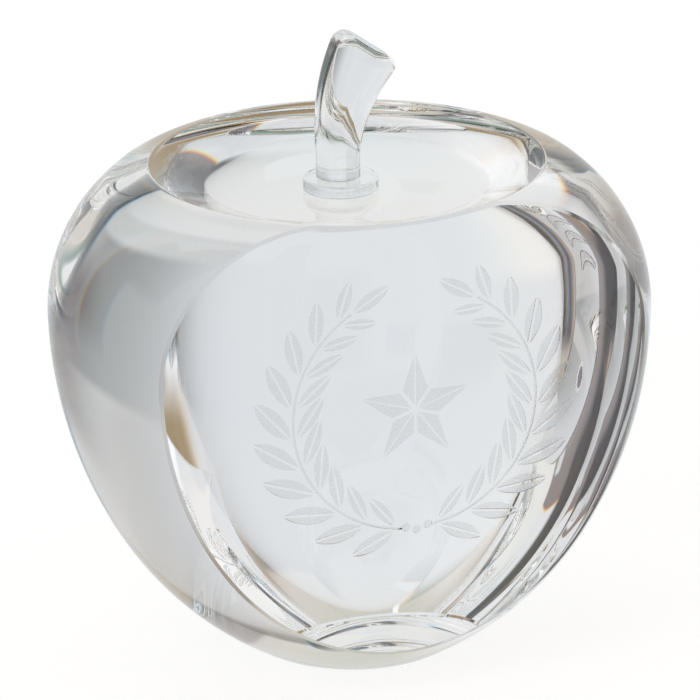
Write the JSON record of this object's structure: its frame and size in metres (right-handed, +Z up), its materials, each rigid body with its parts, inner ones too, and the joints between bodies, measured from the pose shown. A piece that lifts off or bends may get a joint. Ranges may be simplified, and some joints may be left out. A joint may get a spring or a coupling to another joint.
{
  "type": "art glass apple",
  "caption": "Solid clear crystal apple paperweight with a flat front window, a dished top and a bent crystal stem on a round foot.",
  "frame": {"origin": "centre of the round flat base, on the surface that the apple stands on; the axis of the turned body goes up from it", "axes": "+Z up along the axis of the turned body, -Y out of the flat front window, +X the side that the stem leans to"},
  "size_m": [0.08, 0.063, 0.0841],
  "materials": {
    "body_crystal": "clear, polished all over",
    "stem_crystal": "clear, fire polished",
    "clear_adhesive": "clear cured adhesive film"
  },
  "bodies": {
    "root": {"apple_body": "body_crystal", "foot_bond": "clear_adhesive", "stem_foot": "stem_crystal", "stem_bond": "clear_adhesive", "stem": "stem_crystal"}
  },
  "joints": []
}
